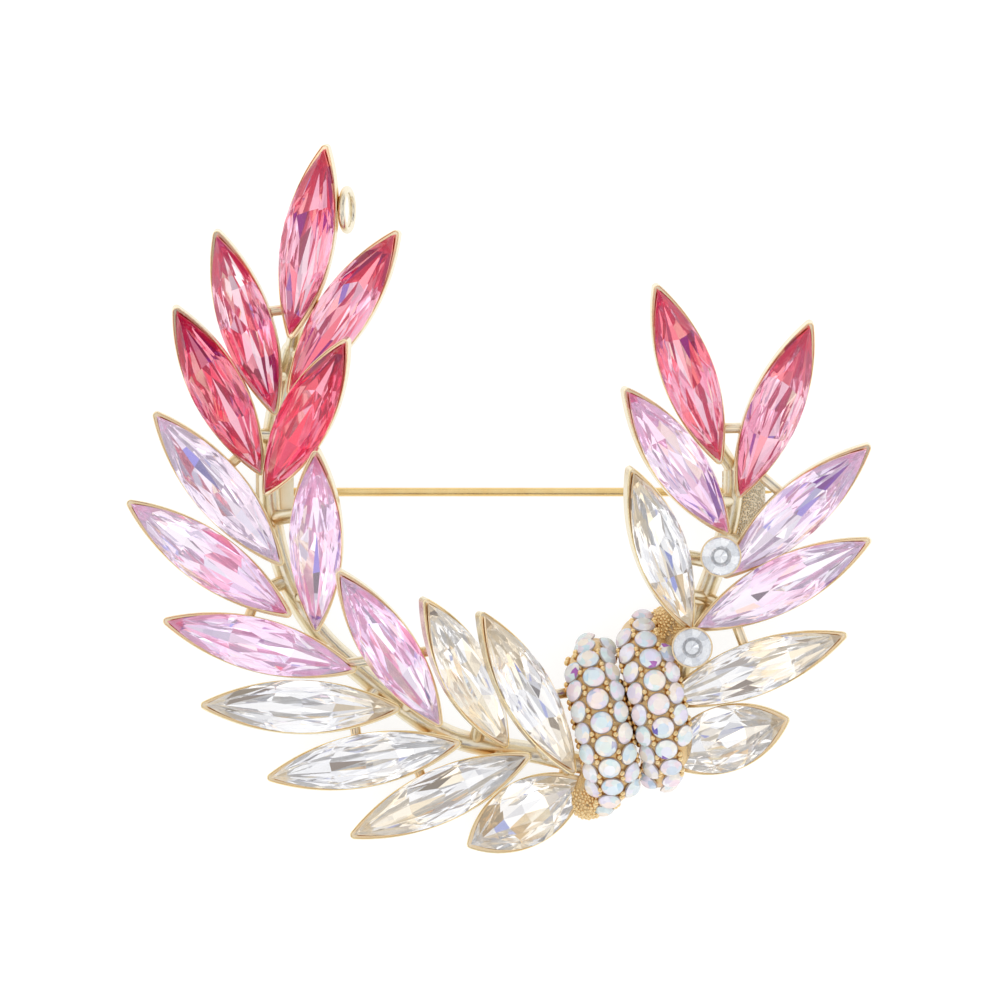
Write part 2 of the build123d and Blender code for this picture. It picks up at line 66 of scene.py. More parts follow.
# %% Place the camera
photo_scale = 12.7
photo_width = 1000
photo_middle = Vector((0.085, -0.059, 7.0)) * MM
camera_height = 2.0
camera_data = bpy.data.cameras.new("studio_camera")
camera_data.sensor_width = 36.0
camera_data.lens = camera_data.sensor_width * camera_height / (photo_width / photo_scale * MM)
camera_data.clip_start = 0.05
camera_data.clip_end = 20.0
camera = bpy.data.objects.new("studio_camera", camera_data)
camera.location = photo_middle + Vector((0, 0, camera_height))
bpy.context.scene.collection.objects.link(camera)
bpy.context.scene.camera = camera
bpy.context.scene.view_settings.view_transform = "Standard"
print("lens", round(camera_data.lens, 1), "mm")

# %% [markdown]
# ## Sums on shader sockets
# A finish is a chain of small sums. Written node by node they are hard to follow, so a small
# class wraps one output and lets the sums be written as on numbers. Every other node comes
# from one method of its recipe, which sets the node's options first and then its sockets.

# %% Define the recipe and its levels
class Recipe:
    """The nodes of one finish."""

    def __init__(self, tree):
        self.tree = tree
        tree.nodes.clear()

    def add(self, kind, settings=None, sockets=None, output=0):
        """A node from its type, its options, and the values or links of its sockets."""
        node = self.tree.nodes.new(kind)
        for key, value in (settings or {}).items():
            if key == "stops":
                set_stops(node.color_ramp, value)
            else:
                setattr(node, key, value)
        for key, value in (sockets or {}).items():
            if isinstance(value, Level):
                self.tree.links.new(value.socket, node.inputs[key])
            else:
                node.inputs[key].default_value = value
        return Level(self, node.outputs[output]) if len(node.outputs) else node

    def mix(self, share, first, second):
        """A colour between two others."""
        return self.add("ShaderNodeMix", {"data_type": "RGBA"}, {0: share, 6: first, 7: second}, 2)


class Level:
    """One output of a recipe, on which sums are written as on a number."""

    def __init__(self, recipe, socket):
        self.recipe, self.socket = recipe, socket

    def sum(self, operation, first, second):
        """One sum of two levels or numbers."""
        return self.recipe.add("ShaderNodeMath", {"operation": operation}, {0: first, 1: second})

    def __add__(self, other):
        return self.sum("ADD", self, other)

    def __radd__(self, other):
        return self.sum("ADD", other, self)

    def __sub__(self, other):
        return self.sum("SUBTRACT", self, other)

    def __rsub__(self, other):
        return self.sum("SUBTRACT", other, self)

    def __mul__(self, other):
        return self.sum("MULTIPLY", self, other)

    def __rmul__(self, other):
        return self.sum("MULTIPLY", other, self)


def set_stops(ramp, stops):
    """Gives a ramp its places and colours."""
    while len(ramp.elements) > 1:
        ramp.elements.remove(ramp.elements[-1])
    for i, (place, colour) in enumerate(stops):
        element = ramp.elements[0] if i == 0 else ramp.elements.new(place)
        element.position = place
        element.color = (*colour, 1.0)


def new_finish(name):
    """An empty finish and its recipe."""
    finish = bpy.data.materials.new(name)
    finish.use_nodes = True
    return finish, Recipe(finish.node_tree)


def finish_off(recipe, sockets):
    """Ends a recipe with its surface."""
    surface = recipe.add("ShaderNodeBsdfPrincipled", {}, sockets)
    recipe.add("ShaderNodeOutputMaterial", {}, {"Surface": surface})


print("recipe ready")

# %% [markdown]
# ## The card
# The brooch was photographed on white with hardly a shadow, as on card that is lit from below
# too. A card with a glow of its own does that. A brighter card would burn out the undersides
# of the cups, and a dull one would lie grey between the leaves.

# %% Lay the card
card_reach = 1.5
card_corners = [(x * card_reach, y * card_reach, 0) for x, y in ((-1, -1), (1, -1), (1, 1), (-1, 1))]
card_mesh = bpy.data.meshes.new("white_card")
card_mesh.from_pydata(card_corners, [], [(0, 1, 2, 3)])
card = bpy.data.objects.new("white_card", card_mesh)
bpy.context.scene.collection.objects.link(card)
card_finish, recipe = new_finish("white_card")
finish_off(recipe, {"Base Color": (0.28, 0.28, 0.28, 1), "Roughness": 0.9, "Specular IOR Level": 0.1,
                    "Emission Color": (1, 1, 1, 1), "Emission Strength": 0.80})
card_mesh.materials.append(card_finish)
print("card", 2 * card_reach, "m wide")

# %% [markdown]
# ## The tent
# Crystals and polished metal show little but what is around them, so an even white tent would
# make them flat. A real tent has greyer folds and a few dark gaps at its seams. Lamps could
# stand for each of them, but patches of noise do it in one go. Only rays that metal or glass
# has turned see the patches, and all others see plain white. Crystal splits light at the edge
# of a dark gap into colours, so thin blue and orange bands lie along the patches' edges.

# %% Hang the tent
tent_white = (1.3, 1.3, 1.3, 1)
fold_scale = 3.2
fold_stops = [
    (0.0, (0.05, 0.04, 0.05)), (0.345, (0.08, 0.06, 0.06)), (0.36, (0.10, 0.18, 0.75)),
    (0.37, (0.45, 0.45, 0.50)), (0.43, (0.68, 0.68, 0.70)), (0.50, (0.88, 0.88, 0.89)),
    (0.58, (0.99, 0.98, 0.97)), (0.645, (1.1, 1.08, 1.05)), (0.655, (1.1, 0.62, 0.32)),
    (0.665, (1.5, 1.5, 1.5)),
]
tent = bpy.data.worlds.new("tent")
tent.use_nodes = True
bpy.context.scene.world = tent
recipe = Recipe(tent.node_tree)
toward = recipe.add("ShaderNodeTexCoord", {}, {}, "Generated")
patch = recipe.add("ShaderNodeTexNoise", {}, {"Vector": toward, "Scale": fold_scale, "Detail": 1.0}, "Fac")
folds = recipe.add("ShaderNodeValToRGB", {"stops": fold_stops}, {"Fac": patch})
mirrored = recipe.add("ShaderNodeLightPath", {}, {}, "Is Glossy Ray")
refracted = recipe.add("ShaderNodeLightPath", {}, {}, "Is Transmission Ray")
seen = recipe.mix(mirrored + refracted, tent_white, folds)
background = recipe.add("ShaderNodeBackground", {}, {"Color": seen, "Strength": 1.0})
recipe.add("ShaderNodeOutputWorld", {}, {"Surface": background})
print("tent folds", len(fold_stops), "stops")

# %% [markdown]
# ## Gold
# The cups and rods are cast and plated in a pale champagne gold. They were tumbled smooth,
# which leaves open walls a soft cream. In hollows gold sees mostly itself and looks deeper
# and yellower; here that is painted shade, a deeper colour mixed in by how closed in a place
# is. The pin is drawn wire with a deeper plating, and the catch plate was left as cast and
# looks like fine grey sand. One function makes them all: a fine noise stirs the roughness,
# and a broad one dulls the colour in patches and bends the reflections a little.

# %% Make the golds
fine_scale, broad_scale = 5000.0, 700.0
shade_reach = 1.0 * MM
bump_height = 0.1 * MM
roughness_sway = 0.08


def make_gold(name, colours, roughness, ripple, grain):
    """Plated metal from its bright and dull colours and a colour painted into its hollows as shade."""
    bright, dull, hollow_shade = ((*colour, 1) for colour in colours)
    finish, recipe = new_finish(name)
    place = recipe.add("ShaderNodeTexCoord", {}, {}, "Object")
    fine = recipe.add(
        "ShaderNodeTexNoise", {}, {"Vector": place, "Scale": fine_scale, "Detail": 3.0}, "Fac")
    broad = recipe.add(
        "ShaderNodeTexNoise", {}, {"Vector": place, "Scale": broad_scale, "Detail": 2.0}, "Fac")
    # Painted shade: ambient occlusion mixes in the hollow colour where a place is closed in, standing for the
    # deeper gold that hollows reflect onto themselves.
    openness = recipe.add("ShaderNodeAmbientOcclusion", {"samples": 8}, {"Distance": shade_reach}, "AO")
    tone = recipe.mix(1 - openness, recipe.mix(broad, dull, bright), hollow_shade)
    height = fine * grain + broad * ripple
    bump = recipe.add("ShaderNodeBump", {}, {"Height": height, "Distance": bump_height}, "Normal")
    finish_off(recipe, {"Base Color": tone, "Metallic": 1.0, "Roughness": roughness + fine * roughness_sway,
                        "Normal": bump})
    return finish


# The third colour of each gold is painted shade for its hollows.
hollow_shade_gold = (0.78, 0.46, 0.14)
pale_gold = make_gold("pale_gold", [(0.88, 0.83, 0.71), (0.83, 0.74, 0.54), hollow_shade_gold], 0.20, 0.10, 0.02)
rim_gold = make_gold(
    "rim_gold", [(1.0, 0.90, 0.64), (0.98, 0.83, 0.50), (0.98, 0.80, 0.44)], 0.14, 0.05, 0.02)
wire_gold = make_gold("wire_gold", [(0.92, 0.72, 0.36), (0.84, 0.58, 0.24), hollow_shade_gold], 0.16, 0.10, 0.04)
grain_gold = make_gold("grain_gold", [(0.96, 0.80, 0.50), (0.84, 0.60, 0.28), hollow_shade_gold], 0.14, 0.12, 0.20)
# The knot's colours are painted darker than the cups' as painted shade for its crowded seats and grains.
knot_gold = make_gold(
    "knot_gold", [(0.84, 0.64, 0.36), (0.60, 0.40, 0.18), (0.42, 0.22, 0.06)], 0.22, 0.20, 0.30)
sand_metal = make_gold(
    "sand_metal", [(0.88, 0.85, 0.78), (0.76, 0.72, 0.64), (0.60, 0.55, 0.46)], 0.25, 0.10, 0.20)
print("golds", [gold.name for gold in (pale_gold, rim_gold, wire_gold, grain_gold, knot_gold, sand_metal)])

# %% [markdown]
# ## Crystal over foil
# A foil-backed stone is clear or tinted glass whose lower facets carry a mirror. Light goes in
# through the crown, bounces between the mirrored facets and comes out elsewhere, which gives
# the shards of light and dark. So the crown here is real refracting glass and the lower half
# is a mirror tinted facet by facet, partly in the stone's own colour and partly with painted
# reflections: dark shards and white highlights. A faint glow of the stone's deep colour stands
# for light that has crossed it so often that a renderer gives up counting. Small stones with
# a coat thinner than light's own waves get a third recipe, part glass and part pearly sheen,
# whose facet colours are partly the coat's own and partly painted reflection.

# %% Write the glass, foil and pearl recipes
crystal_ior, pearl_ior = 1.56, 1.7
coat_thickness, coat_ior = 330.0, 1.8
deep_end, pale_end = 0.30, 0.60


def make_glass(name, tint):
    """Clear or faintly tinted glass."""
    finish, recipe = new_finish(name)
    finish_off(recipe, {"Base Color": (*tint, 1), "Roughness": 0.0, "IOR": crystal_ior,
                        "Transmission Weight": 1.0})
    return finish


def facet_ramp(recipe, stops):
    """A colour picked by the tone of each facet."""
    facet = recipe.add("ShaderNodeAttribute", {"attribute_name": "facet_tone"}, {}, "Fac")
    return recipe.add("ShaderNodeValToRGB", {"stops": stops}, {"Fac": facet}, "Color")


def make_foil(name, stops, tip_glow, middle_glow):
    """A mirror tinted facet by facet, partly in the stone's colour and partly with painted reflections, with
    one glow for the tips and one for the middle.
    """
    finish, recipe = new_finish(name)
    glow = facet_ramp(recipe, [(deep_end, tip_glow), (pale_end, middle_glow)])
    finish_off(recipe, {"Base Color": facet_ramp(recipe, stops), "Metallic": 0.9, "Roughness": 0.03,
                        "Specular IOR Level": 0.2, "Emission Color": glow, "Emission Strength": 1.0})
    return finish


def make_pearl(name, stops):
    """A coated crown: part glass, part a pale tint on every facet, partly the coat's colour and partly
    painted reflection.
    """
    finish, recipe = new_finish(name)
    finish_off(recipe, {"Base Color": facet_ramp(recipe, stops), "Roughness": 0.03, "IOR": pearl_ior,
                        "Transmission Weight": 0.4, "Thin Film Thickness": coat_thickness,
                        "Thin Film IOR": coat_ior})
    return finish


print("crystal recipes ready, glass of index", crystal_ior)

# %% [markdown]
# ## The colours of the crystals
# The tints run from a painted dark reflection through the body colour to a painted white
# highlight, or to a painted orange one in the deepest pink. The first stop of most is nearly
# black, blue or brown, and only a few facets of a stone get it. The glow of the tips is stronger
# and warmer than that of the middle, because light crosses more glass there.

# %% Make the crystals
# Each list runs from painted dark reflections through the stone's own colour to painted white highlights; the
# first, brown stop of the aurora list is a painted shadow line for the small stones' girdles.
foil_and_reflection_tones = {
    "pink": [(0.0, (0.08, 0.0, 0.22)), (0.03, (0.62, 0.01, 0.06)), (0.14, (0.80, 0.14, 0.22)),
             (0.30, (0.87, 0.40, 0.40)), (0.48, (0.90, 0.52, 0.64)), (0.74, (0.94, 0.74, 0.85)),
             (1.0, (1.0, 0.96, 0.98))],
    "deep_pink": [(0.0, (0.05, 0.0, 0.18)), (0.03, (0.42, 0.0, 0.04)), (0.20, (0.76, 0.08, 0.16)),
                  (0.38, (0.86, 0.32, 0.40)), (0.60, (0.91, 0.56, 0.68)), (0.88, (0.97, 0.80, 0.88)),
                  (1.0, (0.94, 0.56, 0.34))],
    "lilac": [(0.0, (0.03, 0.03, 0.32)), (0.03, (0.62, 0.12, 0.26)), (0.10, (0.84, 0.50, 0.60)),
              (0.20, (0.92, 0.82, 0.91)), (0.55, (0.91, 0.89, 0.98)), (0.72, (0.97, 0.90, 0.92)),
              (1.0, (1.0, 0.99, 1.0))],
    "clear": [(0.0, (0.10, 0.08, 0.10)), (0.03, (0.42, 0.28, 0.14)), (0.10, (0.80, 0.70, 0.54)),
              (0.26, (0.93, 0.87, 0.76)), (0.45, (0.90, 0.91, 0.94)), (0.8, (0.95, 0.95, 0.95)),
              (1.0, (1.0, 1.0, 1.0))],
    "round": [(0.0, (0.68, 0.70, 0.73)), (0.5, (0.88, 0.90, 0.92)), (1.0, (1.0, 1.0, 1.0))],
    "aurora": [(0.0, (0.22, 0.15, 0.10)), (0.01, (0.03, 0.06, 0.45)), (0.022, (0.42, 0.02, 0.36)),
               (0.034, (0.52, 0.77, 0.87)), (0.14, (0.78, 0.82, 0.90)), (0.30, (0.71, 0.88, 0.86)),
               (0.46, (0.96, 0.93, 0.85)), (0.60, (0.98, 0.88, 0.71)), (0.72, (0.95, 0.78, 0.84)),
               (0.86, (0.78, 0.75, 0.90)), (1.0, (1.0, 1.0, 1.0))],
}
glows = {
    "pink": ((0.22, 0.01, 0.04), (0.12, 0.01, 0.03)),
    "deep_pink": ((0.20, 0.005, 0.03), (0.11, 0.005, 0.02)),
    "lilac": ((0.25, 0.11, 0.16), (0.13, 0.11, 0.14)),
    "clear": ((0.23, 0.20, 0.155), (0.12, 0.12, 0.125)),
    "round": ((0.10, 0.10, 0.105), (0.10, 0.10, 0.105)),
    "aurora": ((0.18, 0.18, 0.19), (0.18, 0.18, 0.19)),
}
glass_tints = {"pink": (1.0, 0.93, 0.95), "deep_pink": (1.0, 0.88, 0.90), "lilac": (0.98, 0.95, 1.0),
               "clear": (1.0, 1.0, 1.0), "round": (1.0, 1.0, 1.0)}
crowns = {tone: make_glass(tone + "_glass", tint) for tone, tint in glass_tints.items()}
crowns["aurora"] = make_pearl("aurora_crown", foil_and_reflection_tones["aurora"])
crystals = {tone: (crowns[tone], make_foil(tone + "_foil", stops, *glows[tone]))
            for tone, stops in foil_and_reflection_tones.items()}
print("crystals", list(crystals))

# %% [markdown]
# ## Reading a stone's place
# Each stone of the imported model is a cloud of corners. Its longest spread runs along the
# stone and its least spread runs from back to front, so those directions come from the
# spread of the corners. The single pointed corner at the back tells front from back.

# %% Find where each stone sits
hair = 0.001 * MM
digits = 7


def corners_of(mesh):
    """The distinct corners of a mesh."""
    return np.unique(np.round(np.array([v.co for v in mesh.vertices], float), digits), axis=0)


def stone_place(points):
    """The stone's place as a matrix, with its half length and half width."""
    centre = points.mean(0)
    _, ways = np.linalg.eigh(np.cov((points - centre).T))
    along, front = ways[:, 2], ways[:, 0]
    heights = (points - centre) @ front
    if heights.max() > -heights.min():
        front = -front
    across = np.cross(front, along)
    local = (points - centre) @ np.array([along, across, front]).T
    tips = local[local[:, 0] > local[:, 0].max() - hair]
    level = (tips[:, 2].max() + tips[:, 2].min()) / 2
    middle = (local.max(0) + local.min(0)) / 2
    origin = centre + along * middle[0] + across * middle[1] + front * level
    matrix = Matrix([[along[i], across[i], front[i], origin[i]] for i in range(3)] + [[0, 0, 0, 1]])
    half = (local.max(0) - local.min(0)) / 2
    return matrix, float(half[0]), float(half[1])


long_stones = sorted(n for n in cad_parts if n.startswith(("left_stone", "right_stone")))
places = {node: stone_place(corners_of(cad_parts[node].data)) for node in long_stones}
first_size = [round(2 * half / MM, 2) for half in places[long_stones[0]][1:]]
print("long stones", len(places), "first is", first_size, "mm")

# %% [markdown]
# ## Rings of corners
# A cut stone is a stack of rings: its table, the shoulder of its crown, two at its girdle, two
# on its back and the point at its foot. A ring of a long stone is a pointed oval whose corners
# are evenly spaced along it, and that of a round stone is a circle.

# %% Draw the rings
girdle, crown, pavilion = 0.25 * MM, 0.95 * MM, 1.5 * MM


def almond(a, b, height, count, turn=0.0):
    """Corners round a pointed oval, evenly spaced along it and counted from one tip."""
    ring = []
    for i in range(count):
        lap = (i + turn) / count % 1
        share = 1 - 4 * lap if lap < 0.5 else 4 * lap - 3
        side = 1 if lap < 0.5 else -1
        ring.append((a * share, side * b * (1 - share ** 2), height))
    return ring


def circle(radius, height, count, turn=0.0):
    """Corners round a circle."""
    angles = [2 * math.pi * (i + turn) / count for i in range(count)]
    return [(radius * math.cos(t), radius * math.sin(t), height) for t in angles]


print("stone depth", round((girdle + crown + pavilion) / MM, 2), "mm")

# %% [markdown]
# ## Cutting the long stones
# A pointed oval has a slim table, a tier of kite facets and a tier of long facets down to its
# girdle. Below, narrow mirrored facets run to a point near the middle. Hand-fed wheels leave
# no two stones alike: the length of the table, the number of sides and the corners of the
# hidden rings differ a little from stone to stone, so no shard repeats from leaf to leaf. A set
# stone covers the edge of its seat, so each is cut a little larger than its plain solid.

# %% Cut the long stones
overhang = 0.08 * MM
cut_seed = 100
girdle_run = 4
table_width, table_lengths, side_counts, culet_stray = 0.56, (0.76, 0.86), (6, 6, 8), 0.2
shoulder_share, belly_share, keel_share = (0.90, 0.82, 0.60), (0.80, 0.62, 0.40), (0.50, 0.30, 0.74)
shoulder_stir, belly_stir, keel_stir = (0.03, 0.03), (0.08, 0.10), (0.12, 0.05)


def stirred(ring, chance, sway, lift):
    """The same ring with each corner off by a little."""
    return [(x * (1 + chance.uniform(-sway, sway)), y * (1 + chance.uniform(-sway, sway)),
             z * (1 + chance.uniform(-lift, lift))) for x, y, z in ring]


def long_rings(a, b, chance):
    """Rings of a long stone. A share is of its half length, half width and depth."""
    edge = girdle / 2
    reach, sides = chance.uniform(*table_lengths), chance.choice(side_counts)
    (sx, sy, sz), (bx, by, bz), (kx, ky, kz) = shoulder_share, belly_share, keel_share
    return [
        almond(reach * a, table_width * b, edge + crown, sides, -0.5),
        stirred(almond(sx * a, sy * b, edge + sz * crown, sides), chance, *shoulder_stir),
        almond(a, b, edge, girdle_run * sides, -girdle_run / 2),
        almond(a, b, -edge, girdle_run * sides, -girdle_run / 2),
        stirred(almond(bx * a, by * b, -edge - bz * pavilion, sides), chance, *belly_stir),
        stirred(almond(kx * a, ky * b, -edge - kz * pavilion, sides, -0.5), chance, *keel_stir),
        [(chance.uniform(-culet_stray, culet_stray) * a, 0, -edge - pavilion)],
    ]


long_cuts = {node: long_rings(a + overhang / 2, b + overhang, random.Random(cut_seed + number))
             for number, (node, (_, a, b)) in enumerate(places.items())}
print("sides of the long stones", [len(rings[0]) for rings in long_cuts.values()])

# %% [markdown]
# ## Facets
# The rings are joined facet by facet, which keeps every edge sharp. A solid cut by planes
# would do as well, but here each facet is known by its place, so it can be given its own tone.
# The facets over the girdle are glass and those from the girdle down are foil.

# %% Join rings into facets
def fan(inner, outer, span):
    """Facets from each corner of an inner ring to a run of corners of an outer one."""
    faces = []
    for i, corner in enumerate(inner):
        run = [outer[(i * span + k) % len(outer)] for k in range(span + 1)]
        faces += [(corner, run[k + 1], run[k]) for k in range(span)]
        faces.append((corner, inner[(i + 1) % len(inner)], run[-1]))
    return faces


def stone_facets(rings):
    """Joins the rings table, shoulder, girdle top, girdle foot, belly, keel and culet."""
    points, ids = [], []
    for ring in rings:
        ids.append(list(range(len(points), len(points) + len(ring))))
        points += ring
    table, shoulder, top, foot, belly, keel, culet = ids
    n, edge = len(table), len(top)
    clear = [tuple(table)]
    for i in range(n):
        j = (i + 1) % n
        clear += [(table[i], shoulder[i], table[j]), (shoulder[i], shoulder[j], table[j])]
    clear += fan(shoulder, top, edge // n)
    foiled = [(top[i], foot[i], foot[(i + 1) % edge], top[(i + 1) % edge]) for i in range(edge)]
    foiled += [tuple(reversed(face)) for face in fan(belly, foot, edge // n)]
    for i in range(n):
        j = (i + 1) % n
        foiled += [(keel[i], keel[j], belly[i]), (belly[i], keel[j], belly[j]), (keel[j], keel[i], culet[0])]
    return points, clear, foiled


_, clear, foiled = stone_facets(long_cuts[long_stones[0]])
print("facets of the first stone", len(clear), "of glass and", len(foiled), "of foil")

# %% [markdown]
# ## Pieces
# Every piece below is made the same way from its corners and faces. A stone's faces carry the
# number of their finish, glass or foil, and a tone that the foil reads.

# %% Define a piece
def make_piece(name, points, faces, finishes, marks=None, tones=None, smooth=False):
    """A mesh object from corners and faces, with a finish and a tone for each face."""
    mesh = bpy.data.meshes.new(name)
    mesh.from_pydata([tuple(point) for point in points], [], faces)
    for finish in finishes:
        mesh.materials.append(finish)
    if marks:
        mesh.polygons.foreach_set("material_index", marks)
    if tones:
        mesh.attributes.new("facet_tone", "FLOAT", "FACE").data.foreach_set("value", tones)
    fixer = bmesh.new()
    fixer.from_mesh(mesh)
    bmesh.ops.recalc_face_normals(fixer, faces=fixer.faces)
    for face in fixer.faces:
        face.smooth = smooth
    fixer.to_mesh(mesh)
    fixer.free()
    piece = bpy.data.objects.new(name, mesh)
    bpy.context.scene.collection.objects.link(piece)
    return piece


def cut_stone(name, rings, finishes, tones):
    """A stone from its rings, its glass and foil, and a tone for each facet."""
    points, clear, foiled = stone_facets(rings)
    return make_piece(name, points, clear + foiled, finishes, [0] * len(clear) + [1] * len(foiled), tones)


print("piece maker ready")

# %% [markdown]
# ## Tones
# In real tinted glass the light travels furthest in the tips, so the facets there get deeper
# tones, painted as shade. One long side of each stone is painted paler, as painted light.
# Neighbouring facets on a back often mirror the same thing, so each spoke of the back is a panel
# with a tone in common, a painted reflection. A few facets in a hundred get a painted reflection
# of a dark gap and turn nearly black or blue. On a round stone the spokes are all that shows.

# %% Choose the tones
# Painted shade deepens the tips and painted light pales one long side.
middle_tone, least_tone, tip_shade_depth, lit_side_lean = 0.64, 0.04, 0.40, 0.12
# The panels and the rare dark shards are painted reflections.
panel_spread, facet_spread, dark_reflection_share = 0.36, 0.26, 0.03


def streak_tones(rings, chance):
    """A tone for each facet of a long stone: painted shade at the tips, painted light on one side, panels of
    painted reflection and rare painted dark reflections.
    """
    points, clear, foiled = stone_facets(rings)
    n, edge = len(rings[0]), len(rings[2])
    panel = [chance.uniform(-panel_spread, panel_spread) for _ in range(n)]
    group = [0] * len(clear) + [k * n // edge for k in range(edge)]
    group += [i for i in range(n) for _ in range(edge // n + 1)] + [i for i in range(n) for _ in range(3)]
    reach, width = (max(abs(point[k]) for point in points) for k in (0, 1))
    values = []
    for face, spoke in zip(clear + foiled, group):
        x, y = (sum(points[i][k] for i in face) / len(face) for k in (0, 1))
        # Painted shade towards the tips, painted light on one side, painted reflection per panel.
        pale = (middle_tone - tip_shade_depth * abs(x / reach) ** 2 + lit_side_lean * y / width
                + panel[spoke] + chance.uniform(-facet_spread, facet_spread))
        values.append(0.0 if chance.random() < dark_reflection_share else min(1.0, max(least_tone, pale)))
    return values


def spoke_tones(rings, chance, low, high, edge_tone):
    """A tone for each spoke of a round stone, above and below, one for its table and one for its girdle; the
    spread of tones is partly painted reflection.
    """
    n, edge = len(rings[0]), len(rings[2])
    crown_tone = [chance.uniform(low, high) for _ in range(n)]
    back_tone = [chance.uniform(low, high) for _ in range(n)]
    values = [chance.uniform(max(low, 0.1), high)]
    values += [crown_tone[i] for i in range(n) for _ in range(2)]
    values += [crown_tone[i] for i in range(n) for _ in range(edge // n + 1)]
    values += [edge_tone] * edge
    values += [back_tone[i] for i in range(n) for _ in range(edge // n + 1)]
    return values + [back_tone[i] for i in range(n) for _ in range(3)]


print("dark shards in a hundred facets", round(100 * dark_reflection_share))

# %% [markdown]
# ## Setting the long stones
# The wreath fades from pink at the tips of its sprays through lilac to clear crystal at the
# knot. Each cut stone takes the place of its plain solid and rides on the brooch.

# %% Set the long stones
left_tones = ["pink"] * 3 + ["deep_pink"] * 2 + ["lilac"] * 5 + ["clear"] * 6
right_tones = ["pink"] * 2 + ["lilac"] * 3 + ["clear"] * 3
tone_of = {f"left_stone_{i:02d}": tone for i, tone in enumerate(left_tones, 1)}
tone_of.update({f"right_stone_{i:02d}": tone for i, tone in enumerate(right_tones, 1)})
for seed, (node, rings) in enumerate(long_cuts.items()):
    tones = streak_tones(rings, random.Random(seed))
    stone = cut_stone(node + "_cut", rings, crystals[tone_of[node]], tones)
    stone.matrix_world = places[node][0]
    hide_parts(node)
    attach(stone, "brooch")
    tone_of[node] + "_crystal"
print("long stones set", len(places))

# %% [markdown]
# ## Round stones
# Two small round stones sit in the right spray. They are cut the same way, with rings that
# are circles. Their backs are nearly plain cones, whose facets show as spokes, so each spoke
# has one tone from its rim to the middle.

# %% Draw the rings of a round stone
table_share, star_share, star_rise = 0.56, 0.80, 0.6
round_run = 3


def round_rings(radius, edge, crown_height, back, spokes, flare, belly, keel):
    """Rings of a round stone. Belly and keel are shares of its radius and of its depth."""
    return [
        circle(table_share * radius, edge + crown_height, spokes),
        circle(star_share * radius, edge + star_rise * crown_height, spokes, 0.5),
        circle(radius, edge, round_run * spokes),
        circle(radius + flare, -edge, round_run * spokes),
        circle(belly[0] * radius, -edge - belly[1] * back, spokes, 0.5),
        circle(keel[0] * radius, -edge - keel[1] * back, spokes),
        [(0, 0, -edge - back)],
    ]


print("a round stone's table is", table_share, "of its width")

# %% Set the round stones
round_spokes, round_crown, round_back = 12, 0.6 * crown, 0.75 * pavilion
round_belly, round_keel = (0.94, 0.08), (0.86, 0.17)
round_seed, round_tones = 50, (0.0, 1.0, 0.3)
for number in (1, 2):
    node = f"round_stone_{number}"
    low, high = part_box(node)
    radius = (high.x - low.x) / 2
    rings = round_rings(radius, girdle / 2, round_crown, round_back, round_spokes, 0, round_belly, round_keel)
    tones = spoke_tones(rings, random.Random(round_seed + number), *round_tones)
    stone = cut_stone(node + "_cut", rings, crystals["round"], tones)
    level = low.z + round_back + girdle / 2
    stone.matrix_world = Matrix.Translation(((low.x + high.x) / 2, (low.y + high.y) / 2, level))
    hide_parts(node)
    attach(stone, "brooch")
print("round stones set")

# %% [markdown]
# ## The stones of the knot
# The field of small stones is one node of loose solids. Walking over the edges of its mesh
# parts them, and each gives its own place. Two bands run over the knot, and the direction a
# stone faces tells its column and how far along its band it sits. A step back from a stone by
# the radius of its band leads to the band's spine, from which the grains are placed later.

# %% Find the small stones
def loose_parts(mesh):
    """The corners of each loose part of a mesh."""
    parts = bmesh.new()
    parts.from_mesh(mesh)
    bmesh.ops.remove_doubles(parts, verts=parts.verts, dist=hair)
    seen, groups = set(), []
    for vertex in parts.verts:
        if vertex in seen:
            continue
        group, waiting = [], [vertex]
        seen.add(vertex)
        while waiting:
            current = waiting.pop()
            group.append(tuple(current.co))
            for link in current.link_edges:
                other = link.other_vert(current)
                if other not in seen:
                    seen.add(other)
                    waiting.append(other)
        groups.append(np.array(group))
    parts.free()
    return groups


small_places = [stone_place(part) for part in loose_parts(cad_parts["knot_stones"].data)]
print("small stones", len(small_places))

# %% Sort them into columns
band_radius, seat_rise, band_split = 2.15 * MM, 0.1 * MM, 0.3 * MM
column_step = math.radians(46)
knot_low, knot_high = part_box("knot_stones")
columns = {}
for matrix, _, _ in small_places:
    front = matrix.col[2].to_3d()
    spine = matrix.translation - front * (band_radius + seat_rise)
    band = 0 if spine.x < (knot_low.x + knot_high.x) / 2 + band_split else 1
    column = round(math.asin(front.x) / column_step)
    columns.setdefault((band, column), []).append((math.atan2(front.y, front.z), front, spine))
for rows in columns.values():
    rows.sort(key=lambda row: row[0])
print("stones by band and column", {key: len(rows) for key, rows in columns.items()})

# %% [markdown]
# ## Cutting the small stones
# Each becomes a small round brilliant, turned about its own middle so that no two show the
# same facets. Such stones carry a coat that sends back a pale green, pink or violet from each
# facet, and here and there a vivid blue, so they take the pearly crown; those facet colours are
# partly the coat's own and partly painted reflection. Their girdles carry a painted shadow line.
# All are built into one piece, as the solids were.

# %% Cut the small stones
small_spokes, small_radius, small_flare = 8, 0.85 * MM, 0.06 * MM
small_edge, small_crown, small_back = 0.05 * MM, 0.34 * MM, 0.60 * MM
small_belly, small_keel = (0.72, 0.34), (0.36, 0.68)
